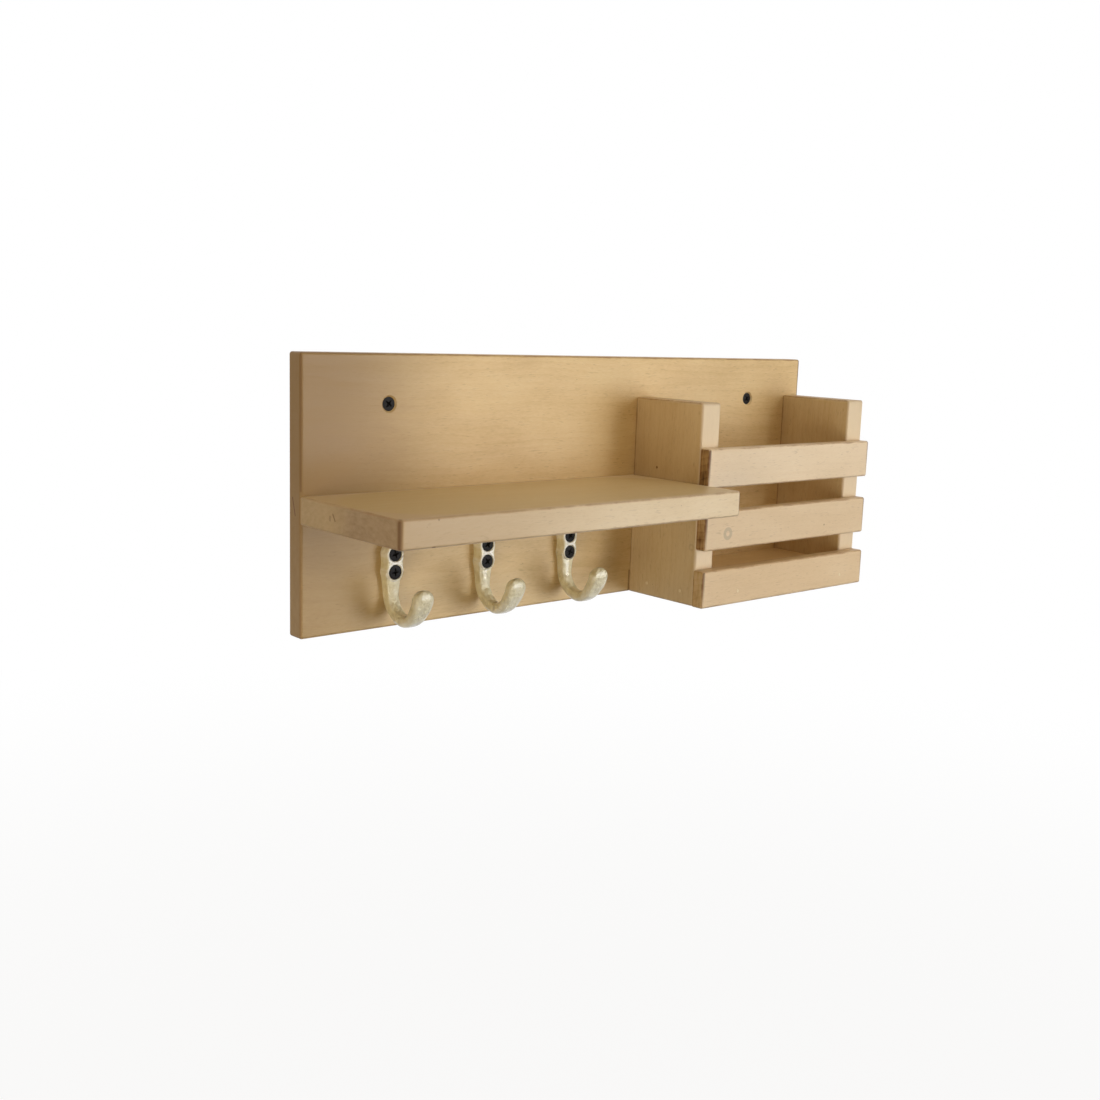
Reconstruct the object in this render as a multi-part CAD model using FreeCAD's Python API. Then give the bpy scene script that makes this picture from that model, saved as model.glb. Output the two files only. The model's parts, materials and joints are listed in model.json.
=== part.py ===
import FreeCAD
import Part
import math
import os
from FreeCAD import Rotation, Vector

# Wall key holder: a wooden backboard that carries a shelf, a slatted pocket
# and a row of cast hooks.
# Millimetres. +X runs right along the wall, +Y into the wall, +Z up.
# The origin is the middle of the backboard's back face.

# Backboard
board_width = 400.0
board_height = 150.0
board_thickness = 12.0

# Shelf, flush with the backboard's left end
shelf_length = 240.0
shelf_depth = 91.0
shelf_thickness = 15.0
shelf_top_height = 76.0
shelf_corner_radius = 2.5

# Pocket: two sides, a bottom between them and three slats across the front
side_thickness = 16.0
side_depth = 57.0
side_height = 125.0
bottom_thickness = 16.0
slat_thickness = 7.0
slat_bottom_thickness = 8.0
slat_bottom_overhang = 1.0
slat_bottom_height = 23.0
slat_middle_height = 24.0
slat_top_height = 24.0
lower_gap = 12.4
upper_gap = 14.5

# Rounding of the arrises that stay free
arris_radius = 1.5

# Hooks: cast in one piece. A flat plate takes two screws, the arm below it
# lies on the board, and a wide bend rises into a thick round tip.
hook_count = 3
hook_first = 54.5
hook_pitch = 63.5
hook_screw_height = 32.0
hook_screw_spacing = 10.0
plate_radius = 5.0
plate_waist_angle = 14.0
plate_height = 7.3
plate_arris = 0.6
neck_half_width = 4.4
neck_length = 10.0
arm_half_width = 3.5
arm_height = 6.0
arm_widest_height = 1.0
bend_start_height = 20.5
bend_radius = 14.0
bend_angle = 145.0
bend_thickness = 6.2
rise_length = 3.7
tip_curve_radius = 16.0
tip_curve_angle = 42.0
tip_half_width = 5.7
tip_thickness = 6.5
tip_round = 5.5
tip_end_angle = 70.0
bend_stations = 5
loft_degree = 3

# Screws and nails
clearance = 0.1
hook_screw_head_radius = 3.75
hook_screw_radius = 1.5
hook_screw_length = 16.0
hook_screw_sink = 0.5
wood_screw_head_radius = 4.0
wood_screw_radius = 2.0
wood_screw_length = 35.0
nail_radius = 1.0
nail_length = 30.0
slat_nail_length = 17.0

# Places of the fasteners
shelf_screw_inset = 40.0
shelf_screw_count = 3
side_screw_low = 36.0
side_screw_high = 100.0
bottom_nail_back = 16.0
bottom_nail_front = 45.0
slat_nail_inset = 32.0
slat_nail_right_inset = 24.0

# Countersunk holes for the wall screws
wall_hole_inset = 54.0
wall_hole_height = 123.0
wall_hole_radius = 2.25
wall_sink_radius = 4.8

# Edges and planes that follow from the sizes
left = -board_width / 2
right = board_width / 2
base = -board_height / 2
front = -board_thickness
pocket_left = left + shelf_length
pocket_front = front - side_depth
shelf_top = base + shelf_top_height
bottom_middle = base + bottom_thickness / 2

pieces = {}


def is_free(edge, seated):
    """Whether an edge lies in none of the seated planes."""
    ends = [vertex.Point for vertex in edge.Vertexes]
    return not any(all(abs(end[axis] - place) < 1e-6 for end in ends) for axis, place in seated)


def board(low, high, seated=(), corner_radius=0.0):
    """A sawn board between two corners. Its arrises are rounded, apart from
    those in a seated plane, given as (axis, place), where it butts on a piece.
    With a corner radius, the upright corners get that radius first."""
    size = high - low
    block = Part.makeBox(size.x, size.y, size.z, low)
    free = [edge for edge in block.Edges if is_free(edge, seated)]
    if corner_radius:
        upright = [edge for edge in free if edge.BoundBox.ZLength > size.z / 2]
        block = block.makeFillet(corner_radius, upright)
        level = [edge for edge in block.Edges if edge.BoundBox.ZLength < size.z / 2]
        free = [edge for edge in level if is_free(edge, seated)]
    radius = min(arris_radius, 0.4 * min(size))
    return block.makeFillet(radius, free) if free else block


def turned(profile, start, direction):
    """A turned solid: profile lists (radius, depth) pairs, and depth runs from
    start along direction."""
    points = [Vector(radius, 0, depth) for radius, depth in profile]
    face = Part.Face(Part.makePolygon(points + points[:1]))
    solid = face.revolve(Vector(0, 0, 0), Vector(0, 0, 1), 360)
    solid.Placement = FreeCAD.Placement(start, Rotation(Vector(0, 0, 1), direction))
    return solid


def screw_profile(sizes):
    """Outline of a countersunk screw from its axis outwards."""
    head_radius, shank_radius, length = sizes
    return [
        (0, 0),
        (head_radius, 0),
        (shank_radius, head_radius - shank_radius),
        (shank_radius, length - 2 * shank_radius),
        (0, length),
    ]


def screw_hole_profile(sizes):
    """Outline of the drilled and countersunk hole that holds a screw."""
    head_radius, shank_radius, length = sizes
    return [
        (0, 0),
        (head_radius + clearance, 0),
        (shank_radius + clearance, head_radius - shank_radius),
        (shank_radius + clearance, length + clearance),
        (0, length + clearance),
    ]


def nail_profile(sizes):
    """Outline of a nail whose head is punched flush."""
    radius, length = sizes
    return [(0, 0), (radius, 0), (radius, length), (0, length)]


def nail_hole_profile(sizes):
    """Outline of the hole that a nail makes for itself."""
    radius, length = sizes
    return nail_profile((radius + clearance, length + clearance))


def drive_screw(name, sizes, start, direction, carriers):
    """Makes a screw called name and its hole in the pieces it goes through."""
    hole = turned(screw_hole_profile(sizes), start, direction)
    for carrier in carriers:
        pieces[carrier] = pieces[carrier].cut(hole)
    pieces[name] = turned(screw_profile(sizes), start, direction)


def drive_nail(name, sizes, start, direction, carriers):
    """Makes a nail called name and its hole in the pieces it goes through."""
    hole = turned(nail_hole_profile(sizes), start, direction)
    for carrier in carriers:
        pieces[carrier] = pieces[carrier].cut(hole)
    pieces[name] = turned(nail_profile(sizes), start, direction)


def eased(share):
    """Smooth step from 0 to 1 with level ends."""
    share = min(max(share, 0.0), 1.0)
    return share * share * (3 - 2 * share)


def hook_route():
    """The hook's middle line as (length, curvature) stretches, from the upper
    screw down the arm, round the bend, up a straight rise and over the tip."""
    drop = hook_screw_height + hook_screw_spacing - bend_start_height
    return [
        (drop, 0.0),
        (bend_radius * math.radians(bend_angle), 1 / bend_radius),
        (rise_length, 0.0),
        (tip_curve_radius * math.radians(tip_curve_angle), 1 / tip_curve_radius),
    ]


def hook_path(run):
    """Distance from the board, height above the backboard's lower edge and
    heading of the middle line, a distance run along it. Each stretch is a
    straight line or an arc that goes on from the one before."""
    forward, up, heading = arm_height / 2, hook_screw_height + hook_screw_spacing, -math.pi / 2
    for length, curvature in hook_route():
        step = min(run, length)
        turned_to = heading + step * curvature
        if curvature:
            forward += (math.sin(turned_to) - math.sin(heading)) / curvature
            up -= (math.cos(turned_to) - math.cos(heading)) / curvature
        else:
            forward += step * math.cos(heading)
            up += step * math.sin(heading)
        heading = turned_to
        run -= step
    return forward, up, heading


def hook_section(run, whole):
    """Half width, reach and offset of the oval round the middle line at a
    distance along it. The neck narrows to the arm, whose oval is centred near
    the board. The bend is centred on the line, the tip flares and ends round."""
    drop = hook_route()[0][0]
    neck = eased((run - hook_screw_spacing) / neck_length)
    bend = eased((run - drop) / bend_radius)
    flare_start = drop + bend_radius * math.radians(bend_angle) / 2
    flare = eased((run - flare_start) / (whole - tip_round - flare_start))
    half_width = neck_half_width + (arm_half_width - neck_half_width) * neck
    half_width += (tip_half_width - arm_half_width) * flare
    thickness = arm_height + (bend_thickness - arm_height) * bend
    thickness += (tip_thickness - bend_thickness) * flare
    offset = (arm_widest_height - arm_height / 2) * (1 - bend)
    past = max(run - (whole - tip_round), 0.0) / tip_round
    cap = math.sqrt(1 - past * past)
    return half_width * cap, (thickness / 2 - offset) * cap, offset


def section_wire(run, whole, middle):
    """The oval round the hook at a distance along its middle line: two halves
    of a unit circle, stretched and carried to their place by a matrix whose
    columns are the oval's two half axes, its heading and its centre."""
    forward, up, heading = hook_path(run)
    half_width, reach, offset = hook_section(run, whole)
    outward = Vector(0, math.sin(heading), math.cos(heading))
    along = Vector(0, -math.cos(heading), math.sin(heading))
    centre = Vector(middle, front - forward, base + up) + outward * offset
    across = Vector(half_width, 0, 0)
    columns = (across, outward * reach, along, centre)
    rows = [[getattr(column, axis) for column in columns] for axis in "xyz"]
    place = FreeCAD.Matrix(*rows[0], *rows[1], *rows[2], 0, 0, 0, 1)
    halves = [Part.makeCircle(1, Vector(), Vector(0, 0, 1), turn, turn + 180) for turn in (0, 180)]
    return Part.Wire([half.transformGeometry(place).Edges[0] for half in halves])


def plate(middle):
    """The hook's flat plate: two round ends joined by hollow sides that run
    into them without a corner, with a rounded front arris."""
    half_turn = math.radians(plate_waist_angle)
    touch = Vector(plate_radius * math.cos(half_turn), 0, plate_radius * math.sin(half_turn))
    half_spacing = hook_screw_spacing / 2
    hollow = (half_spacing - touch.z) * math.tan(half_turn / 2)
    centre = Vector(middle, front, base + hook_screw_height + half_spacing)
    upper_right = Vector(touch.x, 0, half_spacing - touch.z)
    upper_left = Vector(-touch.x, 0, half_spacing - touch.z)
    lower_left = Vector(-touch.x, 0, touch.z - half_spacing)
    lower_right = Vector(touch.x, 0, touch.z - half_spacing)
    top = Vector(0, 0, half_spacing + plate_radius)
    waist = Vector(touch.x - hollow, 0, 0)
    outline = Part.Wire([
        Part.Arc(centre + upper_right, centre + top, centre + upper_left).toShape(),
        Part.Arc(centre + upper_left, centre - waist, centre + lower_left).toShape(),
        Part.Arc(centre + lower_left, centre - top, centre + lower_right).toShape(),
        Part.Arc(centre + lower_right, centre + waist, centre + upper_right).toShape(),
    ])
    block = Part.Face(outline).extrude(Vector(0, -plate_height, 0))
    rim = [edge for edge in block.Edges if edge.BoundBox.YMax < front - plate_height / 2]
    return block.makeFillet(plate_arris, rim)


def hook(middle):
    """One cast hook whose middle plane lies at X = middle, bedded flat on the
    backboard's face. The last oval lies tip_end_angle round the tip's end."""
    whole = sum(length for length, curvature in hook_route())
    drop = hook_route()[0][0]
    cap_start = whole - tip_round
    runs = [hook_screw_spacing]
    runs += [drop + (cap_start - drop) * number / bend_stations for number in range(bend_stations + 1)]
    runs.append(cap_start + tip_round * math.sin(math.radians(tip_end_angle)))
    wires = [section_wire(run, whole, middle) for run in runs]
    arm = Part.makeLoft(wires, True, False, False, loft_degree)
    behind = Part.makeBox(4 * plate_radius, board_thickness, board_height,
                          Vector(middle - 2 * plate_radius, front, base))
    return plate(middle).fuse(arm.cut(behind)).removeSplitter()


def countersink(height, middle):
    """Open cone that leads down to a hook screw's head."""
    wide = hook_screw_head_radius + hook_screw_sink
    start = Vector(middle, front - plate_height - clearance, base + height)
    return Part.makeCone(wide + clearance, hook_screw_head_radius, hook_screw_sink + clearance,
                         start, Vector(0, 1, 0))


# Backboard, with the two holes for the wall screws
pieces["backboard"] = board(Vector(left, front, base), Vector(right, 0, base + board_height))
for wall_hole in (left + wall_hole_inset, right - wall_hole_inset):
    mouth = Vector(wall_hole, front, base + wall_hole_height)
    sink_depth = wall_sink_radius - wall_hole_radius
    profile = [
        (0, -clearance),
        (wall_sink_radius + clearance, -clearance),
        (wall_hole_radius, sink_depth),
        (wall_hole_radius, board_thickness + clearance),
        (0, board_thickness + clearance),
    ]
    pieces["backboard"] = pieces["backboard"].cut(turned(profile, mouth, Vector(0, 1, 0)))

# Shelf, butted on the backboard and on the pocket's left side
pieces["shelf"] = board(
    Vector(left, front - shelf_depth, shelf_top - shelf_thickness),
    Vector(pocket_left, front, shelf_top),
    seated=[(1, front)],
    corner_radius=shelf_corner_radius,
)

# Pocket sides
for name, low_x in (("left", pocket_left), ("right", right - side_thickness)):
    pieces["pocket_side_" + name] = board(
        Vector(low_x, pocket_front, base),
        Vector(low_x + side_thickness, front, base + side_height),
        seated=[(1, front)],
    )

# Pocket bottom, between the sides
pieces["pocket_bottom"] = board(
    Vector(pocket_left + side_thickness, pocket_front, base),
    Vector(right - side_thickness, front, base + bottom_thickness),
    seated=[(0, pocket_left + side_thickness), (0, right - side_thickness), (1, front), (1, pocket_front)],
)

# Slats across the pocket's front, from the bottom up
slat_base = base
for name, height, thickness, overhang, gap in (
    ("slat_bottom", slat_bottom_height, slat_bottom_thickness, slat_bottom_overhang, lower_gap),
    ("slat_middle", slat_middle_height, slat_thickness, 0.0, upper_gap),
    ("slat_top", slat_top_height, slat_thickness, 0.0, 0.0),
):
    pieces[name] = board(
        Vector(pocket_left - overhang, pocket_front - thickness, slat_base),
        Vector(right, pocket_front, slat_base + height),
        seated=[(1, pocket_front)],
    )
    slat_base += height + gap

# Hooks, each with two screws
hook_screw = (hook_screw_head_radius, hook_screw_radius, hook_screw_length)
for number in range(1, hook_count + 1):
    middle = left + hook_first + (number - 1) * hook_pitch
    node = "hook_%d" % number
    pieces[node] = hook(middle)
    for level, rise in (("lower", 0.0), ("upper", hook_screw_spacing)):
        height = hook_screw_height + rise
        pieces[node] = pieces[node].cut(countersink(height, middle))
        start = Vector(middle, front - plate_height + hook_screw_sink, base + height)
        drive_screw("hook_screw_%d_%s" % (number, level), hook_screw, start, Vector(0, 1, 0),
                    (node, "backboard"))

# Screws from behind into the shelf's back edge and the pocket's sides
wood_screw = (wood_screw_head_radius, wood_screw_radius, wood_screw_length)
inward = Vector(0, -1, 0)
shelf_middle = shelf_top - shelf_thickness / 2
shelf_screw_pitch = (shelf_length - 2 * shelf_screw_inset) / (shelf_screw_count - 1)
for number in range(shelf_screw_count):
    start = Vector(left + shelf_screw_inset + number * shelf_screw_pitch, 0, shelf_middle)
    drive_screw("shelf_screw_%d" % (number + 1), wood_screw, start, inward, ("backboard", "shelf"))
for name, middle in (
    ("left", pocket_left + side_thickness / 2),
    ("right", right - side_thickness / 2),
):
    for level, height in (("lower", side_screw_low), ("upper", side_screw_high)):
        start = Vector(middle, 0, base + height)
        drive_screw("side_screw_%s_%s" % (name, level), wood_screw, start, inward,
                    ("backboard", "pocket_side_" + name))

# Nails through the sides and the bottom slat into the pocket's bottom
nail = (nail_radius, nail_length)
for name, face, heading in (("left", pocket_left, Vector(1, 0, 0)), ("right", right, Vector(-1, 0, 0))):
    for place, reach in (("back", bottom_nail_back), ("front", bottom_nail_front)):
        start = Vector(face, front - reach, bottom_middle)
        drive_nail("nail_%s_%s" % (name, place), nail, start, heading,
                   ("pocket_side_" + name, "pocket_bottom"))
slat_nail = (nail_radius, slat_nail_length)
slat_face = pocket_front - slat_bottom_thickness
for name, middle in (("left", pocket_left + slat_nail_inset), ("right", right - slat_nail_right_inset)):
    start = Vector(middle, slat_face, bottom_middle)
    drive_nail("slat_nail_" + name, slat_nail, start, Vector(0, 1, 0),
               ("slat_bottom", "pocket_bottom"))

os.makedirs("parts", exist_ok=True)
for name, shape in pieces.items():
    shape.exportStep(os.path.join("parts", name + ".step"))
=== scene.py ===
import json
import math

import bmesh
import bpy
import numpy as np
from mathutils import Matrix, Vector


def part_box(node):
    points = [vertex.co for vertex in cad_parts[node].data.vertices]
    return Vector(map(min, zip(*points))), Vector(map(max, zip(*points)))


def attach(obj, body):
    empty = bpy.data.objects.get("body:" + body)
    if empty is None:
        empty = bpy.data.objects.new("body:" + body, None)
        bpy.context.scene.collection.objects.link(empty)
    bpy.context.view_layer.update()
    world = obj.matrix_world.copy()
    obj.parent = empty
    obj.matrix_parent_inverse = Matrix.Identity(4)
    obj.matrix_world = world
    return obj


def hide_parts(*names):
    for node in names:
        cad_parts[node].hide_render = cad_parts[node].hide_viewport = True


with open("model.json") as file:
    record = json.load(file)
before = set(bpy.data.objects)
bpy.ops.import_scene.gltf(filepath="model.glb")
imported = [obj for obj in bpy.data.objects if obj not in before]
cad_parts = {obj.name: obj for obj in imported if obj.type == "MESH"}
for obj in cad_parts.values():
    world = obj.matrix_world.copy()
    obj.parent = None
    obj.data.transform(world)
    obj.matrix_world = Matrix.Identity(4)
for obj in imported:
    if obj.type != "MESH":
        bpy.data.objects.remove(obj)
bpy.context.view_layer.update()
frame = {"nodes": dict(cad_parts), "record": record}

# Backboard: one sawn birch board with its grain along the wall, sanded, lacquered in satin and
# toned with brown stain along its arrises. The shelf, the pocket and the hooks are screwed to
# it, and its left end shows end grain with a short scratch.
millimetre = 0.001
board_low, board_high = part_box("backboard")


def display(red, green, blue):
    """A colour given as sRGB values from 0 to 255, in linear light: a straight line near black
    and a power of 2.4 above it."""
    share = np.array([red, green, blue]) / 255
    light = np.where(share <= 0.04045, share / 12.92, ((share + 0.055) / 1.055) ** 2.4)
    return (*light.tolist(), 1.0)


def new_material(name):
    """A material with its node tree and its shader."""
    material = bpy.data.materials.new(name)
    material.use_nodes = True
    return material, material.node_tree, material.node_tree.nodes["Principled BSDF"]


def add(tree, kind, sockets=None, **settings):
    """One node of a material. sockets maps an input's name or number to a value or to the
    output of another node, and settings are the node's own properties."""
    made = tree.nodes.new("ShaderNode" + kind)
    for name, value in settings.items():
        setattr(made, name, value)
    for name, value in (sockets or {}).items():
        if isinstance(value, bpy.types.NodeSocket):
            tree.links.new(value, made.inputs[name])
        else:
            made.inputs[name].default_value = value
    return made


def reckon(tree, operation, *terms):
    """The output of one step of arithmetic on numbers."""
    return add(tree, "Math", dict(enumerate(terms)), operation=operation).outputs[0]


def shift(tree, operation, *terms):
    """The vector that comes out of one step of arithmetic on vectors."""
    return add(tree, "VectorMath", dict(enumerate(terms)), operation=operation).outputs[0]


def measure(tree, operation, *terms):
    """The number that comes out of one step of arithmetic on vectors, such as a length."""
    return add(tree, "VectorMath", dict(enumerate(terms)), operation=operation).outputs["Value"]


def fade(tree, value, low, high):
    """0 below low, 1 above high, and a smooth step between them. With low above high the
    step falls instead."""
    sockets = {"Value": value, "From Min": low, "From Max": high}
    return add(tree, "MapRange", sockets, interpolation_type="SMOOTHSTEP").outputs[0]


def lay_over(tree, share, under, over):
    """Colour under with colour over laid on it by a share."""
    return add(tree, "Mix", {0: share, 6: under, 7: over}, data_type="RGBA").outputs[2]


def tones_of(tree, value, tones):
    """Colours along a ramp. tones lists (place from 0 to 1, sRGB values)."""
    ramp_node = add(tree, "ValToRGB", {0: value})
    ramp = ramp_node.color_ramp
    while len(ramp.elements) < len(tones):
        ramp.elements.new(0.5)
    for element, (place, colour) in zip(ramp.elements, tones):
        element.position, element.color = place, display(*colour)
    return ramp_node.outputs[0]


def grain_noise(tree, place, cells, detail=3.0, roughness=0.55):
    """Noise from 0 to 1 with so many cells per metre each way."""
    scaled = shift(tree, "MULTIPLY", place, cells)
    sockets = {"Vector": scaled, "Scale": 1.0, "Detail": detail, "Roughness": roughness}
    return add(tree, "TexNoise", sockets).outputs[0]


def give_relief(tree, shader, height, strength, distance):
    """Bumps on a shader, as high as height times distance."""
    bump = add(tree, "Bump", {"Height": height, "Strength": strength, "Distance": distance})
    tree.links.new(bump.outputs[0], shader.inputs["Normal"])


# Cells of noise per metre along the grain, across it and through the board.
fibre_cells = (260.0, 1500.0, 1500.0)
streak_cells = (14.0, 260.0, 260.0)
cloud_cells = (16.0, 45.0, 45.0)
fleck_cells = (170.0, 1500.0, 1500.0)
drift_cells = (9.0, 24.0, 24.0)

# How far the figure drifts, how far the board's middle line lies from the pith, the rings' width
# and sharpness, and how much of a way along the grain counts as a way from the pith.
drift_reach = 16 * millimetre
pith_offset = Vector((0, 12, 45)) * millimetre
ring_width = 4.2 * millimetre
ring_sharpness = 2.5
ring_run = 0.05

# What each layer adds to the tone and what is added to their sum, and how far a seed of one
# moves the board along, across and through the tree, in metres.
tone_weights = {"fibres": 0.42, "streaks": 0.26, "clouds": 0.63, "rings": -0.07}
tone_shift = -0.135
seed_step = Vector((1.0, 0.31, 0.17))


def birch_figure(tree, local, along, seed):
    """The figure of birch at a place in a board, as numbers by name. Fibres, streaks, clouds and
    flecks are noise, most of it drawn out along the grain. Rings are the distance from a pith
    that lies beside the board, counted off in even widths and raised to a power, so that each
    ends in a thin edge. A slow drift bends them all. The tone is their sum by tone_weights."""
    parts = add(tree, "SeparateXYZ", {0: local}).outputs
    across, through = [axis for axis in range(3) if axis != along]
    turned = add(tree, "CombineXYZ", {0: parts[along], 1: parts[across], 2: parts[through]})
    stretch = seed * seed_step
    grain = shift(tree, "ADD", turned.outputs[0], stretch)
    scaled = shift(tree, "MULTIPLY", grain, drift_cells)
    drift = add(tree, "TexNoise", {"Vector": scaled, "Scale": 1.0, "Detail": 2.0}).outputs[1]
    drift = shift(tree, "SUBTRACT", drift, (0.5, 0.5, 0.5))
    drift = shift(tree, "MULTIPLY", drift, (0.0, drift_reach, drift_reach))
    flow = shift(tree, "ADD", grain, drift)
    from_pith = shift(tree, "ADD", flow, pith_offset - stretch)
    radius = measure(tree, "LENGTH", shift(tree, "MULTIPLY", from_pith, (ring_run, 1.0, 1.0)))
    rings = reckon(tree, "FRACT", reckon(tree, "DIVIDE", radius, ring_width))
    figure = {
        "fibres": grain_noise(tree, flow, fibre_cells),
        "streaks": grain_noise(tree, flow, streak_cells),
        "clouds": grain_noise(tree, flow, cloud_cells, detail=2.0),
        "flecks": grain_noise(tree, flow, fleck_cells, detail=1.0),
        "rings": reckon(tree, "POWER", rings, ring_sharpness),
    }
    tone = tone_shift
    for layer, weight in tone_weights.items():
        tone = reckon(tree, "MULTIPLY_ADD", figure[layer], weight, tone)
    figure["tone"] = tone
    return figure


brown_stain = display(98, 58, 26)
golden_stain = display(138, 88, 40)

# The noise at which a fleck begins and is full, cells of pinholes per metre, how near to a
# cell's middle, in cells, a pinhole begins and is full, and how strong flecks and pinholes are.
fleck_noise = (0.62, 0.74)
fleck_share = 0.18
pinhole_cells = 95.0
pinhole_noise = (0.034, 0.016)
pinhole_share = 0.55


def flecked(tree, colour, place, flecks):
    """colour with brown flecks where their noise is high, and with a few pinholes: small dots
    round the middles of Voronoi cells."""
    share = reckon(tree, "MULTIPLY", fade(tree, flecks, *fleck_noise), fleck_share)
    colour = lay_over(tree, share, colour, brown_stain)
    cells = add(tree, "TexVoronoi", {"Vector": place, "Scale": pinhole_cells})
    dots = fade(tree, cells.outputs["Distance"], *pinhole_noise)
    return lay_over(tree, reckon(tree, "MULTIPLY", dots, pinhole_share), colour, brown_stain)


patch_cells = (110.0, 110.0, 110.0)
patch_weight = 0.5
end_ring_weight = -0.12
mottle_shift = -0.22


def sawn_end(tree, local, rings, ends):
    """The colour of a sawn end, by its tones: the sum of a fine mottle and, each by its weight,
    the rings and larger patches."""
    mottle = grain_noise(tree, local, ends["cells"], detail=4.0, roughness=0.65)
    mottle = reckon(tree, "MULTIPLY_ADD", rings, end_ring_weight, mottle)
    patches = grain_noise(tree, local, patch_cells, detail=2.0)
    patches = reckon(tree, "MULTIPLY_ADD", patches, patch_weight, mottle_shift)
    return tones_of(tree, reckon(tree, "ADD", mottle, patches), ends["tones"])


# Cells per metre of the noise that moves the edges of the stain, how far it moves them, and the
# distances from a sawn end at which its own stain and the line along its front begin and are
# full.
uneven_cells = (95.0, 95.0, 95.0)
arris_waver = 1.8 * millimetre
line_waver = 2.2 * millimetre
end_reach = (3.0 * millimetre, 1.0 * millimetre)
line_reach = (2.2 * millimetre, 1.2 * millimetre)


def stained(tree, colour, local, half, along, ends, stain):
    """colour with the stain of a board of half size half. Golden stain lies along its arrises,
    as wide as noise lets it: the distance to the nearest arris is the middle one of the three
    distances to the faces. A brown line lies on the sawn ends along their front, full at the
    top and gone at the foot, which is so many half heights below the middle."""
    inset = shift(tree, "SUBTRACT", half, shift(tree, "ABSOLUTE", local))
    inset = add(tree, "SeparateXYZ", {0: inset}).outputs
    least = reckon(tree, "MINIMUM", inset[0], inset[1])
    most = reckon(tree, "MAXIMUM", inset[0], inset[1])
    arris = reckon(tree, "MAXIMUM", least, reckon(tree, "MINIMUM", most, inset[2]))
    uneven = grain_noise(tree, local, uneven_cells, detail=3.0, roughness=0.6)
    arris = reckon(tree, "SUBTRACT", arris, arris_waver / 2)
    arris = reckon(tree, "MULTIPLY_ADD", uneven, arris_waver, arris)
    width = stain["width"] * millimetre
    share = reckon(tree, "MULTIPLY_ADD", fade(tree, inset[along], *end_reach),
                   stain["ends"] - stain["sides"], stain["sides"])
    share = reckon(tree, "MULTIPLY", fade(tree, arris, width, 0.15 * width), share)
    colour = lay_over(tree, share, colour, golden_stain)
    parts = add(tree, "SeparateXYZ", {0: local}).outputs
    behind = reckon(tree, "ADD", parts[1], half.y - line_waver / 2)
    behind = reckon(tree, "MULTIPLY_ADD", uneven, line_waver, behind)
    width = ends["line_width"] * millimetre
    line = reckon(tree, "MULTIPLY", fade(tree, behind, width, 0.4 * width),
                  fade(tree, inset[along], *line_reach))
    line = reckon(tree, "MULTIPLY", line, fade(tree, parts[2], -half.z * ends["line_foot"], half.z))
    return lay_over(tree, reckon(tree, "MULTIPLY", line, ends["line"]), colour, brown_stain)


def brushed(tree, colour, place, corner, start, run, radius, soft, paint, share, hollow=0.0):
    """colour with one stroke of paint. The stroke leads from start, measured from corner, as
    far as run, all in millimetres. It is full up to radius from the line between them, gone
    past radius and soft, and open inside hollow. The nearest point of the line is start plus
    run times a share: the dot product with run over its squared length, kept from 0 to 1."""
    start, run = corner + Vector(start) * millimetre, Vector(run) * millimetre
    radius, soft, hollow = radius * millimetre, soft * millimetre, hollow * millimetre
    from_start = shift(tree, "SUBTRACT", place, start)
    passed = measure(tree, "DOT_PRODUCT", from_start, run / max(run.length_squared, 1e-12))
    passed = reckon(tree, "MINIMUM", reckon(tree, "MAXIMUM", passed, 0.0), 1.0)
    nearest = add(tree, "VectorMath", {0: run, "Scale": passed}, operation="SCALE").outputs[0]
    reach = measure(tree, "DISTANCE", from_start, nearest)
    inside = reckon(tree, "MULTIPLY", fade(tree, reach, radius + soft, radius),
                    fade(tree, reach, hollow - soft, hollow))
    return lay_over(tree, reckon(tree, "MULTIPLY", inside, share), colour, paint)


def birch(name, along, seed, tones, ends, stain, strokes=()):
    """Lacquered birch for the board called name. along is the axis of its grain, 0 to 2, and
    seed picks its stretch of the tree. tones colours its figure, ends says how its sawn ends
    look, stain how its arrises are stained, and strokes lists what else colours single places,
    measured from the board's front left lower corner."""
    low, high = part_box(name)
    material, tree, shader = new_material(name + "_wood")
    source = add(tree, "TexCoord")
    place = source.outputs["Object"]
    local = shift(tree, "SUBTRACT", place, (low + high) / 2)
    figure = birch_figure(tree, local, along, seed)
    colour = flecked(tree, tones_of(tree, figure["tone"], tones), place, figure["flecks"])
    facing = add(tree, "SeparateXYZ", {0: source.outputs["Normal"]}).outputs[along]
    end = fade(tree, reckon(tree, "ABSOLUTE", facing), 0.55, 0.85)
    colour = lay_over(tree, end, colour, sawn_end(tree, local, figure["rings"], ends))
    colour = stained(tree, colour, local, (high - low) / 2, along, ends, stain)
    for stroke in strokes:
        colour = brushed(tree, colour, place, low, **stroke)
    tree.links.new(colour, shader.inputs["Base Color"])
    rough = reckon(tree, "MULTIPLY_ADD", figure["streaks"], 0.22, 0.32)
    rough = reckon(tree, "MULTIPLY_ADD", end, 0.14, rough)
    tree.links.new(rough, shader.inputs["Roughness"])
    shader.inputs["Specular IOR Level"].default_value = 0.3
    shader.inputs["Coat Weight"].default_value = 0.1
    shader.inputs["Coat Roughness"].default_value = 0.30
    relief = reckon(tree, "MULTIPLY", figure["fibres"], 0.4)
    relief = reckon(tree, "MULTIPLY_ADD", figure["streaks"], 0.6, relief)
    relief = reckon(tree, "MULTIPLY_ADD", figure["flecks"], -0.25, relief)
    give_relief(tree, shader, relief, strength=0.25, distance=0.10 * millimetre)
    board = frame["nodes"][name]
    board.data.materials.clear()
    board.data.materials.append(material)


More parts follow.
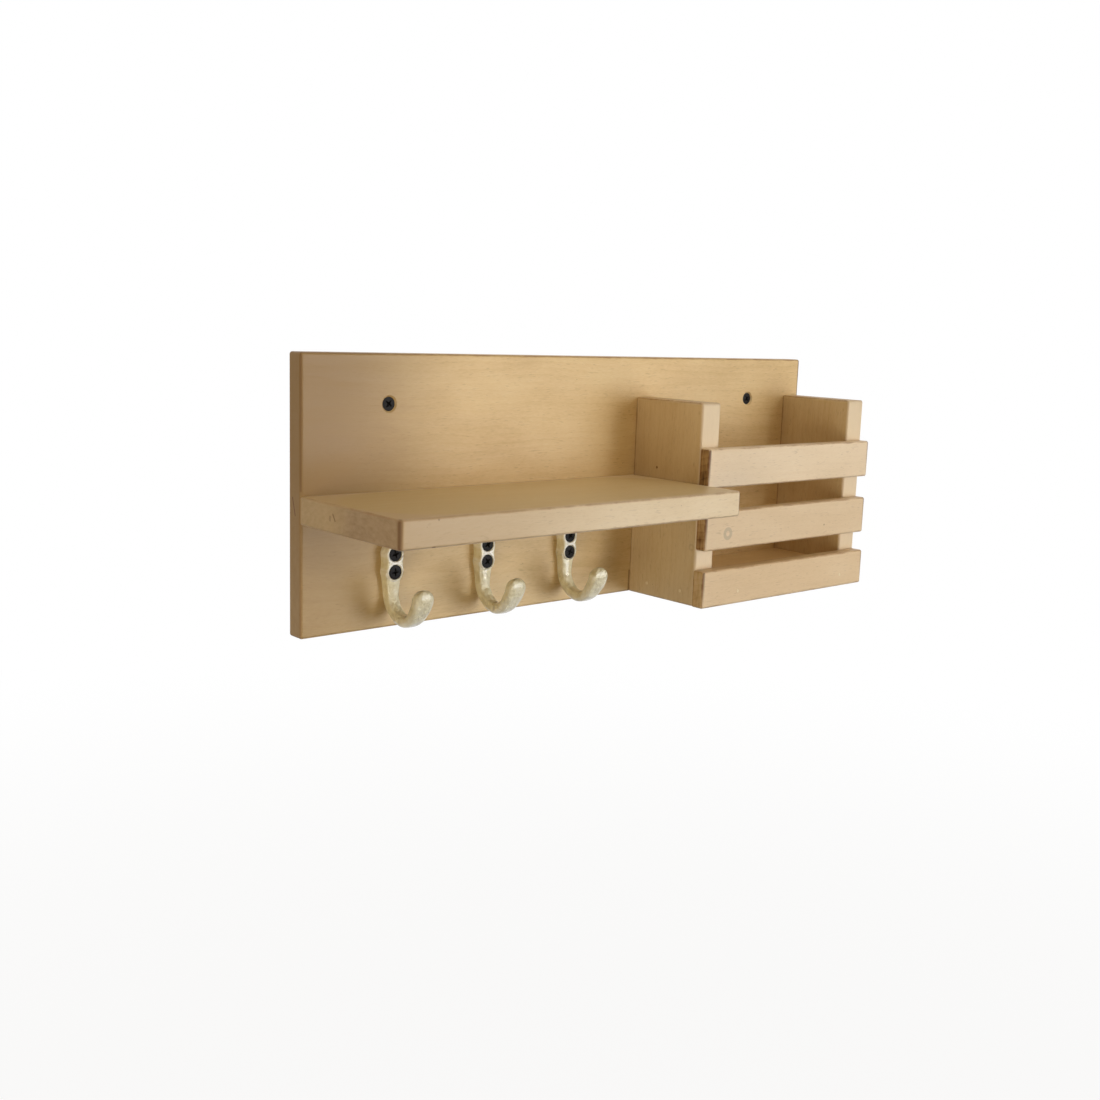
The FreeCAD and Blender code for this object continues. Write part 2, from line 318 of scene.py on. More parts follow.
birch(
    "backboard",
    along=0,
    seed=0.4,
    tones=[(0.15, (201, 169, 115)), (0.5, (221, 192, 141)), (0.85, (232, 208, 160))],
    ends={
        "tones": [(0.2, (152, 129, 98)), (0.5, (174, 153, 122)), (0.8, (190, 170, 139))],
        "cells": (300.0, 300.0, 60.0), "line": 0.9, "line_width": 1.9, "line_foot": 0.8,
    },
    stain={"width": 1.3, "sides": 0.6, "ends": 0.7},
    strokes=[
        # Painted shade: the board is darker towards its upper left corner and along its left end, where the
        # light falls off.
        dict(start=(0, 0, 135), run=(0, 0, -30), radius=10, soft=110,
             paint=display(140, 111, 62), share=0.85),
        dict(start=(0, 0, 150), run=(0, 0, -150), radius=0, soft=90,
             paint=display(158, 126, 82), share=0.5),
        # The scratch on the left end.
        dict(start=(0, 8, 74.6), run=(0, -2.6, -9), radius=0.2, soft=0.5, paint=brown_stain, share=0.75),
        # Stain that gathered at the left end's front and foot, and along the top.
        dict(start=(0, 0.1, 149), run=(0, 0, -70), radius=0.3, soft=0.9, paint=brown_stain, share=0.6),
        dict(start=(0, 0.1, 69), run=(0, 0, -68), radius=0.1, soft=0.7, paint=brown_stain, share=0.35),
        dict(start=(0, 11.5, 0.1), run=(0, -11.5, 0), radius=0.3, soft=0.9, paint=brown_stain, share=0.6),
        dict(start=(0, 0.1, 149.9), run=(400, 0, 0), radius=0.1, soft=0.8, paint=brown_stain, share=0.35),
        # Stain at the foot of the seam with the pocket.
        dict(start=(239.6, 0, 0.5), run=(0, 0, 13), radius=0.2, soft=1, paint=brown_stain, share=0.6),
    ],
)

# Shelf: a birch board flush with the backboard's left end, butted on it and on the pocket's side
# and screwed from behind. Its left end is mottled end grain, its front left arris is stained
# dark, and its front edge has a small nick and a speck.
birch(
    "shelf",
    along=0,
    seed=1.7,
    tones=[(0.15, (214, 191, 154)), (0.5, (227, 207, 174)), (0.85, (234, 217, 189))],
    ends={
        "tones": [(0.25, (106, 84, 64)), (0.5, (151, 131, 110)), (0.75, (178, 160, 137))],
        "cells": (260.0, 220.0, 420.0), "line": 1.0, "line_width": 4.2, "line_foot": 4.0,
    },
    stain={"width": 1.3, "sides": 0.6, "ends": 0.9},
    strokes=[
        # Painted shade: its front darkens to the left and its top is darker and golden. Its left end is
        # paler near the wall.
        dict(start=(0, 0, 7.5), run=(0, 0, 0), radius=10, soft=150,
             paint=display(186, 156, 116), share=0.6),
        dict(start=(45, 46, 15), run=(150, 0, 0), radius=40, soft=6,
             paint=display(206, 182, 124), share=0.5),
        dict(start=(0, 91, 7.5), run=(0, -26, 0), radius=4, soft=22,
             paint=display(208, 182, 138), share=0.55),
        # The nick and the speck on its front edge.
        dict(start=(19, 0, 0), run=(1, 0, 0), radius=0.6, soft=0.5, paint=brown_stain, share=0.8),
        dict(start=(22, 0, 13.7), run=(0, 0, 0), radius=0.3, soft=0.5, paint=brown_stain, share=0.45),
        # Two short scratches on the left end, and the stain down its front arris.
        dict(start=(0, 57.4, 6.9), run=(0, 2, 3), radius=0.3, soft=0.4, paint=brown_stain, share=0.6),
        dict(start=(0, 62.1, 8.5), run=(0, 0, -2), radius=0.3, soft=0.4, paint=brown_stain, share=0.5),
        dict(start=(0, 1, 13.4), run=(0, 0, -13.8), radius=0.2, soft=1.7,
             paint=display(98, 62, 20), share=0.85),
    ],
)

# Pocket: two birch sides with upright grain and a bottom board between them, glued and nailed.
# The sides are golden with paler fronts, and the left one has a dark dot and a faint ring.
side_ends = {
    "tones": [(0.25, (170, 134, 90)), (0.5, (208, 180, 138)), (0.8, (224, 202, 166))],
    "cells": (620.0, 620.0, 620.0), "line": 0.3, "line_width": 1.2, "line_foot": 1.0,
}
pale_front = dict(start=(8, -3.5, 0), run=(0, 0, 125), radius=8.8, soft=1,
                  paint=display(232, 213, 184), share=0.6)
dark_dot = dict(start=(0, 36.7, 82.6), run=(0, 0, 0), radius=0.6, soft=0.4, paint=brown_stain, share=0.75)
faint_ring = dict(start=(0, 3.9, 36.6), run=(0, 0, 0), radius=2, soft=0.6, hollow=1.3,
                  paint=brown_stain, share=0.15)
for side, seed, strokes in (("left", 2.9, [pale_front, dark_dot, faint_ring]), ("right", 3.8, [pale_front])):
    birch(
        "pocket_side_" + side,
        along=2,
        seed=seed,
        tones=[(0.15, (194, 165, 120)), (0.5, (211, 187, 148)), (0.85, (222, 202, 167))],
        ends=side_ends,
        stain={"width": 1.2, "sides": 0.6, "ends": 0.6},
        strokes=strokes,
    )
birch(
    "pocket_bottom",
    along=0,
    seed=4.6,
    tones=[(0.15, (190, 152, 98)), (0.5, (209, 178, 130)), (0.85, (224, 196, 152))],
    ends=side_ends,
    stain={"width": 1.3, "sides": 0.3, "ends": 0.5},
)

# Slats: three thin birch strips across the pocket's front, glued to the sides' edges, with dark
# sawn left ends. The bottom one is thicker, stands out a little and is nailed to the bottom. The
# middle one has a grey smudge round a pale spot and a small brown dot.
grey_smudge = dict(start=(20.6, 0, 9.7), run=(0, 0, 0), radius=3.6, soft=0.8, hollow=2,
                   paint=display(150, 140, 122), share=0.45)
brown_dot = dict(start=(116.5, 0, 8.2), run=(0, 0, 0), radius=0.4, soft=0.4, paint=brown_stain, share=0.6)


def slat_birch(name, seed, middle_tone, end_tones, line, strokes=()):
    """Birch for one slat. Its darker and lighter tones lie a little below and above its middle
    one, and end_tones runs from the darkest tone of its sawn ends to the palest."""
    darker = np.subtract(middle_tone, (11, 12, 14))
    lighter = np.add(middle_tone, (7, 10, 13))
    birch(
        name,
        along=0,
        seed=seed,
        tones=[(0.15, darker), (0.5, middle_tone), (0.85, lighter)],
        ends={
            "tones": list(zip((0.25, 0.5, 0.8), end_tones)),
            "cells": (900.0, 900.0, 90.0), "line": line, "line_width": 1.3, "line_foot": 1.5,
        },
        stain={"width": 1.1, "sides": 0.55, "ends": 0.75},
        strokes=strokes,
    )


slat_birch("slat_bottom", seed=5.3, middle_tone=(217, 190, 152), line=0.7,
           end_tones=((184, 150, 104), (206, 176, 130), (216, 190, 150)))
slat_birch("slat_middle", seed=6.1, middle_tone=(217, 192, 157), line=0.9,
           end_tones=((112, 76, 42), (176, 138, 92), (206, 174, 130)), strokes=[grey_smudge, brown_dot])
slat_birch("slat_top", seed=7.2, middle_tone=(228, 206, 175), line=0.9,
           end_tones=((84, 58, 30), (156, 122, 78), (194, 162, 114)))

# Hooks: cast in one piece, a flat waisted plate, an arm and a wide bend that rises into a round
# tip, and dipped in cream enamel that rounds every edge. Each lies flat on the backboard and is
# held by two screws. Sizes are in millimetres.
plate_radius = 5.35
plate_touch = math.radians(8)
plate_height = 7.3
plate_rim = 0.7
plate_past_screw = 2.0
plate_blend = 4.0
neck_half_width = 5.0
neck_length = 14.0
arm_half_width = 3.5
arm_height = 6.0
arm_widest = 1.0
bedding = 0.4
bend_start_height = 20.5
bend_radius = 14.0
bend_angle = math.radians(145)
bend_thickness = 6.2
rise_length = 3.7
tip_radius = 16.0
tip_angle = math.radians(42)
tip_half_width = 5.7
tip_thickness = 6.5
tip_round = 5.5
sink_rim = 4.45
sink_depth = 3.2
screw_head = 3.95
head_gap = 0.3
head_step = 0.4
head_step_width = 0.12
boss_step_inset = 0.1
boss_step_width = 0.6
waves_start = 8.0
waves_grow = 10.0

# Powers of the sections' superellipses: the higher, the boxier.
plate_power = 14.0
arm_power = 8.0
bend_power = 4.2
rear_bend_power = 3.8

# How closely the plate's outline keeps to the wider of its lower circle and its neck, and the
# power by which a section's height follows the closing of the tip.
neck_power = 14
cap_power = 0.8

# The sine of the angle round a section above which it is flat in front. As shares of a section's
# size, how steeply the arm's ridge falls from its middle, how far out it is level with the plain
# section, and how high the waves are. Their two turns are in radians per millimetre.
front_edge = 0.3
ridge_slope = 0.14
ridge_edge = 0.4
wave_height = 0.014
wave_turn = 0.55
wave_twist = 0.35

# How closely the surface is cut: rows on the plate, on the arm and on a round end, and points
# of a section.
plate_step = 0.12
arm_step = 0.3
end_rows = 26
section_points = 190


def surface(name, grid):
    """A mesh called name from a grid of points, rows by columns by three, whose last column
    meets the first. Double points at poles are merged and the faces turned outwards."""
    rows, columns = grid.shape[:2]
    index = np.arange(rows * columns).reshape(rows, columns)
    index = np.hstack([index, index[:, :1]])
    quads = np.stack([index[:-1, :-1], index[:-1, 1:], index[1:, 1:], index[1:, :-1]], axis=-1)
    mesh = bpy.data.meshes.new(name)
    mesh.from_pydata(grid.reshape(-1, 3), [], quads.reshape(-1, 4).tolist())
    shape = bmesh.new()
    shape.from_mesh(mesh)
    bmesh.ops.remove_doubles(shape, verts=shape.verts, dist=1e-6)
    bmesh.ops.dissolve_degenerate(shape, edges=shape.edges, dist=1e-7)
    bmesh.ops.recalc_face_normals(shape, faces=shape.faces)
    shape.to_mesh(mesh)
    shape.free()
    mesh.polygons.foreach_set("use_smooth", np.ones(len(mesh.polygons), bool))
    piece = bpy.data.objects.new(name, mesh)
    bpy.context.scene.collection.objects.link(piece)
    return piece


def middle_of(node):
    """The middle of a CAD node's box."""
    low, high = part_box(node)
    return (low + high) / 2


def smooth(share):
    """0 below 0, 1 above 1, with level ends between."""
    share = np.clip(share, 0, 1)
    return share * share * (3 - 2 * share)


def even_angles(aspect, power, count):
    """Angles at which a superellipse, one wide and aspect high, is cut into even lengths."""
    fine = np.linspace(0, 2 * np.pi, 4001)
    radius = (np.abs(np.cos(fine)) ** power + np.abs(np.sin(fine) / aspect) ** power) ** (-1 / power)
    steps = np.hypot(np.diff(radius * np.cos(fine)), np.diff(radius * np.sin(fine)))
    length = np.concatenate([[0], np.cumsum(steps)])
    return np.interp(np.linspace(0, length[-1], count, endpoint=False), length, fine)


def hook_line(run, stretches):
    """Distance from the board, height over the upper screw and heading of the middle line at
    distances run below that screw. stretches lists (length, curvature) of straight lines and
    arcs, each of which goes on from the one before. Above the screw the first line goes on."""
    forward, rise = np.full_like(run, arm_height / 2), np.zeros_like(run)
    heading, rest = np.full_like(run, -np.pi / 2), run.copy()
    for order, (length, curvature) in enumerate(stretches):
        step = np.clip(rest, 0 if order else -np.inf, length)
        chord = step * np.sinc(step * curvature / (2 * np.pi))
        forward = forward + chord * np.cos(heading + step * curvature / 2)
        rise = rise + chord * np.sin(heading + step * curvature / 2)
        heading, rest = heading + step * curvature, rest - step
    return forward, rise, heading


def plate_half_width(run, spacing):
    """Half width of the plate: circles round the screws, joined between them by a hollow arc
    that touches both, and past the lower screw a neck that narrows to the arm."""
    touch = plate_radius * math.sin(plate_touch)
    half_chord = spacing / 2 - touch
    hollow = half_chord * math.tan(plate_touch / 2)
    radius = (half_chord ** 2 + hollow ** 2) / (2 * hollow)
    waist = plate_radius * math.cos(plate_touch) - hollow
    from_waist = np.clip(run - spacing / 2, -half_chord, half_chord)
    arc = waist + radius - np.sqrt(radius ** 2 - from_waist ** 2)
    upper = np.sqrt(np.maximum(plate_radius ** 2 - run ** 2, 0))
    lower = np.sqrt(np.maximum(plate_radius ** 2 - (run - spacing) ** 2, 0))
    neck = neck_half_width + (arm_half_width - neck_half_width) * smooth((run - spacing) / neck_length)
    below = (lower ** neck_power + neck ** neck_power) ** (1 / neck_power)
    middle = np.where(run < spacing - touch, arc, below)
    return np.where(run < touch, upper, middle)


def hook_sections(run, spacing, fall, whole):
    """The sections at distances run along a hook of length whole that falls straight for fall.
    They are the shares of plate, bend and flare, the share that closes the tip in a quarter
    circle, the half width, the reach of the front and of the rear from the section's widest
    line, and how far that line lies off the middle line."""
    plate = 1 - smooth((run - spacing - plate_past_screw) / plate_blend)
    bend = smooth((run - fall) / bend_radius)
    flare_start = fall + bend_radius * bend_angle / 2
    flare = smooth((run - flare_start) / (whole - tip_round - flare_start))
    past = np.clip((run - whole + tip_round) / tip_round, 0, 1)
    cap = np.sqrt(1 - past ** 2)
    width = (plate_half_width(run, spacing) + (tip_half_width - arm_half_width) * flare) * cap
    thick = arm_height + (bend_thickness - arm_height) * bend + (tip_thickness - bend_thickness) * flare
    offset = (arm_widest - arm_height / 2) * (1 - bend)
    from_rim = np.clip(plate_rim - plate_radius - run, 0, plate_rim)
    rim = plate_rim - np.sqrt(plate_rim ** 2 - from_rim ** 2)
    front = thick / 2 - offset + (plate_height - arm_height) * (run < spacing) - rim
    rear = thick / 2 * bend + (arm_widest + bedding) * (1 - bend)
    front, rear = front * cap ** cap_power, rear * cap ** cap_power
    return plate, bend, flare, cap, width, front, rear, offset


def hook_surface(name, seed):
    """One hook. Its sections are superellipses carried along the middle line of hook_line: half
    ones with upright sides where it lies on the board, and whole ones from the bend on. Their
    front is flat with a round rim in the plate and a low ridge in the arm, low waves make the
    arm and tip uneven, and a cone and a step for each screw are pressed into the plate."""
    low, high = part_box(name)
    number = name[-1]
    upper = middle_of("hook_screw_%s_upper" % number).z
    spacing = (upper - middle_of("hook_screw_%s_lower" % number).z) / millimetre
    fall = (upper - board_low.z) / millimetre - bend_start_height
    stretches = [(fall, 0.0), (bend_radius * bend_angle, 1 / bend_radius), (rise_length, 0.0),
                 (tip_radius * tip_angle, 1 / tip_radius)]
    whole = sum(length for length, curvature in stretches)
    quarter = np.linspace(0, np.pi / 2, end_rows)
    run = np.concatenate([
        -plate_radius * np.cos(quarter),
        np.arange(plate_step, spacing + plate_radius, plate_step),
        np.arange(spacing + plate_radius, whole - tip_round, arm_step),
        whole - tip_round + tip_round * np.sin(quarter),
    ])
    forward, rise, heading = [part[:, None] for part in hook_line(run, stretches)]
    sections = [part[:, None] for part in hook_sections(run, spacing, fall, whole)]
    plate, bend, flare, cap, width, front, rear, offset = sections
    run = run[:, None]

    around = even_angles(aspect=1.3, power=6.0, count=section_points)[None, :]
    cosine, sine = np.cos(around), np.sin(around)
    front_power = arm_power + (plate_power - arm_power) * plate - (arm_power - bend_power) * bend
    rear_power = arm_power - (arm_power - rear_bend_power) * bend + (bend_power - rear_bend_power) * flare
    power = np.where(sine >= 0, front_power, rear_power)
    reach = np.where(sine >= 0, front, rear) + 1e-9
    side = width + 1e-9
    stretch = (np.abs(cosine / side) ** power + np.abs(sine / reach) ** power) ** (-1 / power)
    x, out = stretch * cosine, stretch * sine

    ridge = ridge_slope * (1 - plate) * (1 - flare) * (ridge_edge - np.abs(x) / side)
    out = np.where(sine > 0, out * (1 + ridge * smooth(sine / front_edge)), out)
    waves = np.sin(wave_turn * run + seed) * np.cos(2 * around + wave_twist * run + 2 * seed)
    waves = 1 + wave_height * waves * smooth((run - spacing - waves_start) / waves_grow) * cap
    x, out = x * waves, out * waves + offset

    on_front = sine > front_edge
    from_screw = np.hypot(x, run - spacing)
    on_boss = smooth((plate_radius - boss_step_inset - from_screw) / boss_step_width)
    boss_step = (plate_height - arm_height) * on_boss
    out = np.where(on_front & (run >= spacing), out + boss_step, out)
    for place in (0.0, spacing):
        from_screw = np.hypot(x, run - place)
        cone = np.clip(sink_rim - from_screw, 0, sink_depth)
        step = head_step * smooth((screw_head + head_gap - from_screw) / head_step_width)
        out = np.where(on_front, out - cone - step, out)

    depth = np.maximum(forward - out * np.sin(heading), 0.0) * millimetre
    height = (rise + out * np.cos(heading)) * millimetre
    grid = np.stack([(low.x + high.x) / 2 + x * millimetre, high.y - depth, upper + height], axis=-1)
    return surface(name + "_enamel", grid)


# Painted shade: an olive tone on hook faces that look back at the board, low on each hook.
shade_top = board_low.z + 31 * millimetre
shade_full = board_low.z + 25 * millimetre
painted_shade_share = 0.55
painted_shade_olive = display(160, 142, 84)
# Painted highlight: a whiter ring round each countersink.
highlight_inside = (4.0 * millimetre, 4.5 * millimetre)
highlight_outside = (5.7 * millimetre, 5.1 * millimetre)
painted_highlight_share = 0.8
painted_highlight_white = display(252, 249, 240)


def enamel():
    """Cream enamel: glossy, a little uneven in thickness, so that its tone clouds between sand
    and ivory and ripples break up its glints. Low on a hook, faces that look back at the board
    get a painted olive shade, and round each countersink a painted highlight makes it whiter."""
    material, tree, shader = new_material("cream_enamel")
    source = add(tree, "TexCoord")
    place = source.outputs["Object"]
    clouds = grain_noise(tree, place, (170.0, 170.0, 170.0))
    colour = tones_of(tree, clouds, [(0.3, (214, 203, 163)), (0.5, (233, 224, 188)), (0.7, (242, 235, 208))])
    parts = add(tree, "SeparateXYZ", {0: place}).outputs
    facing = add(tree, "SeparateXYZ", {0: source.outputs["Normal"]}).outputs
    # Painted shade: olive on faces that look back at the board, low on the hook.
    low_down = fade(tree, parts[2], shade_top, shade_full)
    painted_shade = reckon(tree, "MULTIPLY", fade(tree, facing[1], 0.1, 0.8), low_down)
    colour = lay_over(tree, reckon(tree, "MULTIPLY", painted_shade, painted_shade_share), colour, painted_shade_olive)
    # Painted highlight: a whiter ring round each hook screw's countersink.
    flat = shift(tree, "MULTIPLY", place, (1.0, 0.0, 1.0))
    for node in (name for name in frame["nodes"] if name.startswith("hook_screw_")):
        centre = middle_of(node)
        reach = measure(tree, "DISTANCE", flat, (centre.x, 0.0, centre.z))
        ring = reckon(tree, "MULTIPLY", fade(tree, reach, *highlight_inside), fade(tree, reach, *highlight_outside))
        colour = lay_over(tree, reckon(tree, "MULTIPLY", ring, painted_highlight_share), colour, painted_highlight_white)
    tree.links.new(colour, shader.inputs["Base Color"])
    shader.inputs["Roughness"].default_value = 0.28
    shader.inputs["Coat Weight"].default_value = 1.0
    shader.inputs["Coat Roughness"].default_value = 0.06
    ripples = grain_noise(tree, place, (430.0, 430.0, 430.0))
    give_relief(tree, shader, ripples, strength=1.0, distance=1.6 * millimetre)
    return material


cream = enamel()
for number in (1, 2, 3):
    node = "hook_%d" % number
    piece = hook_surface(node, seed=1.9 * number)
    piece.data.materials.append(cream)
    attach(piece, "root")
    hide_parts(node)

# Hook screws: two black countersunk screws with cross recesses in each hook, their heads a
# little below the bosses' rims.
hook_screw_shank = 1.5
crown = 0.32
head_rim = 0.12

# How long the point is in radii of the shank, and at what share of the cone its first row lies.
point_radii = 2.2
cone_start = 0.06
face_rows = 46
cone_rows = 10
round_points = 128

# Sizes of the cross recess as shares of the head's radius, how much narrower its arms are at
# their tips, and how much shallower the recess is there.
cross_half_width = 0.17
cross_length = 0.60
cross_edge = 0.10
cross_depth = 0.42
cross_taper = 0.35
cross_rise = 0.75


def screw_surface(name, top, heading, head, shank, length, turn):
    """One countersunk screw, turned round its axis. top is the middle of its head's face and
    heading points down the shank. Rows run out over the crowned head, down the cone and the
    shank to the point. The head's face is pressed in inside a cross: a place lies inside one of
    its two bars when it is nearer to the bar's middle line than the tapering half width, and
    not past its end."""
    over = np.linspace(0, 1, face_rows)
    cone = (head - shank) * np.linspace(cone_start, 1, cone_rows)
    point = point_radii * shank
    radius = np.concatenate([head * over, [head], head - cone, [shank, shank, 0.0]])
    depth = np.concatenate([-crown * (1 - over ** 2), [head_rim], head_rim + cone,
                            [length / 2, length - point, length]])
    radius, depth = radius[:, None], depth[:, None]
    around = np.linspace(0, 2 * np.pi, round_points, endpoint=False)
    flat_x, flat_y = radius * np.cos(around), radius * np.sin(around)
    bars = []
    for along_bar, off_bar in ((np.abs(flat_x), np.abs(flat_y)), (np.abs(flat_y), np.abs(flat_x))):
        past_end = along_bar - cross_length * head
        half_width = cross_half_width * head * (1 - cross_taper * along_bar / (cross_length * head))
        bars.append(np.maximum(off_bar - half_width, past_end))
    inside = smooth(-np.minimum(*bars) / (cross_edge * head))
    recess = cross_depth * head * (1 - cross_rise * np.clip(radius / (cross_length * head), 0, 1))
    on_face = np.arange(len(radius))[:, None] < face_rows
    depth = depth + np.where(on_face, inside * recess, 0)
    down = Vector(heading)
    side = Vector((0, 0, 1)).cross(down).normalized()
    over_side = down.cross(side)
    turned_x = flat_x * math.cos(turn) - flat_y * math.sin(turn)
    turned_y = flat_x * math.sin(turn) + flat_y * math.cos(turn)
    from_top = (turned_x[..., None] * np.array(side) + turned_y[..., None] * np.array(over_side)
                + depth[..., None] * np.array(down))
    return surface(name, np.array(top) + from_top * millimetre)


def screw_finish(name, tones, metal, roughness, shine):
    """Plated, blackened or filled: tones by fine noise, which roughens the surface where it is
    high and gives it a faint relief."""
    material, tree, shader = new_material(name)
    place = add(tree, "TexCoord").outputs["Object"]
    scuffs = grain_noise(tree, place, (1500.0, 1500.0, 1500.0), detail=4.0, roughness=0.7)
    tree.links.new(tones_of(tree, scuffs, tones), shader.inputs["Base Color"])
    rough = reckon(tree, "MULTIPLY_ADD", scuffs, 0.25, roughness - 0.12)
    tree.links.new(rough, shader.inputs["Roughness"])
    shader.inputs["Metallic"].default_value = metal
    shader.inputs["Specular IOR Level"].default_value = shine
    give_relief(tree, shader, scuffs, strength=0.3, distance=0.05 * millimetre)
    return material


black_steel = screw_finish(
    "black_steel",
    [(0.35, (10, 8, 7)), (0.6, (20, 16, 14)), (0.75, (40, 33, 29))],
    metal=0.0,
    roughness=0.5,
    shine=0.15,
)
for number in (1, 2, 3):
    for level, turn in (("lower", 0.5 + number), ("upper", 1.3 * number)):
        node = "hook_screw_%d_%s" % (number, level)
        low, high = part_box(node)
        top = ((low.x + high.x) / 2, low.y, (low.z + high.z) / 2)
        length = (high.y - low.y) / millimetre
        piece = screw_surface(node + "_steel", top, (0, 1, 0), screw_head, hook_screw_shank, length, turn)
        piece.data.materials.append(black_steel)
        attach(piece, "root")
        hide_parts(node)

# Wall screws: two black screws of the same kind hold the holder to the wall. They sit in the
# backboard's countersunk holes and are cut off here at the wall.
holes = next(mount for mount in frame["record"]["mounts"] if mount["name"] == "wall_holes")
hole_half_spacing = holes["dims"]["spacing_x_mm"] * millimetre / 2
wall_screw_shank = 2.0
wall_screw_sink = 0.9
wall_gap = 0.2
for side, sign in (("left", -1), ("right", 1)):
    top = (sign * hole_half_spacing, board_low.y + wall_screw_sink * millimetre, holes["pos_m"][2])
    length = (board_high.y - top[1]) / millimetre - wall_gap
    piece = screw_surface("wall_screw_" + side, top, (0, 1, 0), screw_head, wall_screw_shank, length,
                          turn=0.9 * sign)
    piece.data.materials.append(black_steel)
    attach(piece, "root")

# Wood screws: zinc plated, driven from behind through the backboard into the shelf and the
# pocket's sides, their heads flush with its back.
zinc = screw_finish(
    "zinc_plate",
    [(0.3, (150, 146, 136)), (0.5, (196, 192, 182)), (0.75, (222, 219, 212))],
    metal=1.0,
    roughness=0.36,
    shine=0.5,
)
wood_screw_head = 4.0
wood_screw_shank = 2.0
wood_screw_sink = 0.35
shelf_screws = ["shelf_screw_%d" % number for number in (1, 2, 3)]
side_screws = ["side_screw_%s_%s" % (side, level)
               for side in ("left", "right") for level in ("lower", "upper")]
for order, node in enumerate(shelf_screws + side_screws):
    low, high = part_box(node)
    top = ((low.x + high.x) / 2, high.y - wood_screw_sink * millimetre, (low.z + high.z) / 2)
    length = (top[1] - low.y) / millimetre
    piece = screw_surface(node + "_zinc", top, (0, -1, 0), wood_screw_head, wood_screw_shank, length,
                          turn=0.7 * order)
    piece.data.materials.append(zinc)
    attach(piece, "root")
    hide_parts(node)

# Nails: thin nails hold the pocket's bottom. Their heads are punched flush and filled, and show
# as pale dots.
putty = screw_finish(
    "nail_putty",
    [(0.3, (206, 182, 146)), (0.5, (232, 214, 182)), (0.75, (244, 230, 204))],
    metal=0.0,
    roughness=0.6,
    shine=0.4,
)
nails = ["nail_%s_%s" % (side, place) for side in ("left", "right") for place in ("back", "front")]
for node in nails + ["slat_nail_left", "slat_nail_right"]:
    frame["nodes"][node].data.materials.clear()
    frame["nodes"][node].data.materials.append(putty)

# Stage: a pale floor well below the holder, a large soft lamp from the front right at the
# holder's height with a small one above it for the glints, weaker warm lamps from above and
# from the left, and an even pale surround.
floor_height = -0.75
floor_half = 6.0
floor_far = (0.8, 2.6)
corners = np.array([(-1, -1), (1, -1), (1, 1), (-1, 1)]) * floor_half
floor_mesh = bpy.data.meshes.new("floor")
floor_mesh.from_pydata([(x, y, floor_height) for x, y in corners.tolist()], [], [(0, 1, 2, 3)])
floor = bpy.data.objects.new("floor", floor_mesh)
bpy.context.scene.collection.objects.link(floor)


def seen_share(tree):
    """1 for rays from the camera or a mirroring or clear surface, and 0 for the light that
    falls on the object."""
    path = add(tree, "LightPath").outputs
    seen = reckon(tree, "MAXIMUM", path["Is Camera Ray"], path["Is Glossy Ray"])
    return reckon(tree, "MAXIMUM", seen, path["Is Transmission Ray"])


floor_paint = bpy.data.materials.new("pale_floor")
floor_paint.use_nodes = True
tree = floor_paint.node_tree
tree.nodes.clear()
matt = add(tree, "BsdfDiffuse", {"Color": (0.80, 0.80, 0.79, 1)}).outputs[0]
glow = add(tree, "Emission", {"Color": (1, 1, 1, 1), "Strength": seen_share(tree)}).outputs[0]
away = measure(tree, "LENGTH", add(tree, "TexCoord").outputs["Object"])
glow_share = reckon(tree, "MULTIPLY_ADD", fade(tree, away, *floor_far), 0.08, 0.92)
laid = add(tree, "MixShader", {0: glow_share, 1: matt, 2: glow}).outputs[0]
add(tree, "OutputMaterial", {0: laid})
floor_mesh.materials.append(floor_paint)

world = bpy.data.worlds.new("pale_surround")
bpy.context.scene.world = world
world.use_nodes = True
tree = world.node_tree
tree.nodes.clear()
white = add(tree, "Background", {"Color": (1, 1, 1, 1), "Strength": 1.0}).outputs[0]
ambient = add(tree, "Background", {"Color": (1.0, 0.80, 0.53, 1), "Strength": 0.34}).outputs[0]
laid = add(tree, "MixShader", {0: seen_share(tree), 1: ambient, 2: white}).outputs[0]
add(tree, "OutputWorld", {0: laid})


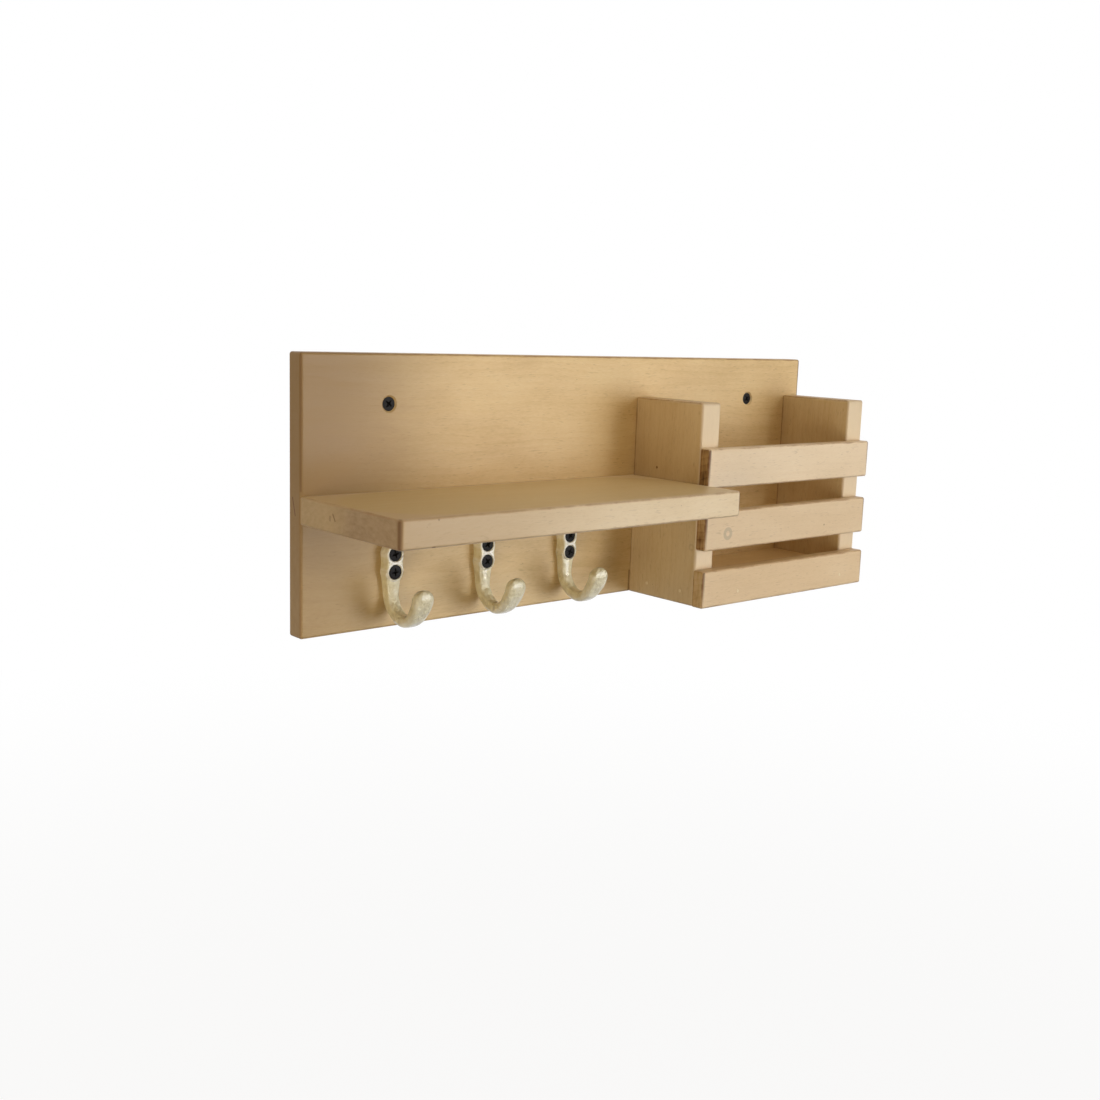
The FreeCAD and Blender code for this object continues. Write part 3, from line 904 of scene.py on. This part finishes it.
def soft_lamp(name, place, aim, size, watts, colour, spread=math.pi):
    """A square lamp at place that faces aim. A spread below pi narrows its beam."""
    lamp = bpy.data.lights.new(name, "AREA")
    lamp.shape, lamp.size, lamp.energy, lamp.color = "SQUARE", size, watts, colour
    lamp.spread = spread
    shown = bpy.data.objects.new(name, lamp)
    shown.location = place
    shown.rotation_euler = (Vector(aim) - Vector(place)).to_track_quat("-Z", "Y").to_euler()
    bpy.context.scene.collection.objects.link(shown)


soft_lamp("key_lamp", place=(0.62, -1.05, -0.06), aim=(0.17, -0.06, 0.0), size=0.75, watts=1.36,
          colour=(0.94, 0.97, 1.0), spread=math.radians(64))
soft_lamp("small_lamp", place=(0.45, -1.10, 0.30), aim=(0.0, -0.03, 0.0), size=0.07, watts=0.9,
          colour=(1.0, 0.95, 0.86))
soft_lamp("top_lamp", place=(-0.10, -0.55, 1.10), aim=(0.0, -0.03, 0.0), size=0.9, watts=1.35,
          colour=(1.0, 0.85, 0.54))
soft_lamp("fill_lamp", place=(-1.50, -0.75, -0.55), aim=(-0.05, -0.03, -0.03), size=1.0, watts=14.0,
          colour=(1.0, 0.87, 0.64))

# Camera: at the photograph's angle, from the left and a little above, with a slight roll.
view_azimuth = math.radians(-42.39)
view_elevation = math.radians(9.78)
view_roll = math.radians(2.13)
view_place = Vector((-0.5416, -0.6038, 0.0937))
view_shift = -0.03
frame_pixels = 1100
focal_pixels = 1305.3
sensor = 36.0
backward = Vector((
    math.sin(view_azimuth) * math.cos(view_elevation),
    -math.cos(view_azimuth) * math.cos(view_elevation),
    math.sin(view_elevation),
))
level_right = (-backward).cross(Vector((0, 0, 1))).normalized()
level_up = level_right.cross(-backward)
right = math.cos(view_roll) * level_right + math.sin(view_roll) * level_up
up = -math.sin(view_roll) * level_right + math.cos(view_roll) * level_up
camera = bpy.data.cameras.new("camera")
camera.sensor_width = sensor
camera.lens = focal_pixels / frame_pixels * sensor
camera.shift_x = view_shift
camera_object = bpy.data.objects.new("camera", camera)
turned = Matrix((right, up, backward)).transposed().to_4x4()
camera_object.matrix_world = Matrix.Translation(view_place) @ turned
bpy.context.scene.collection.objects.link(camera_object)
bpy.context.scene.camera = camera_object
bpy.context.scene.view_settings.view_transform = "Standard"
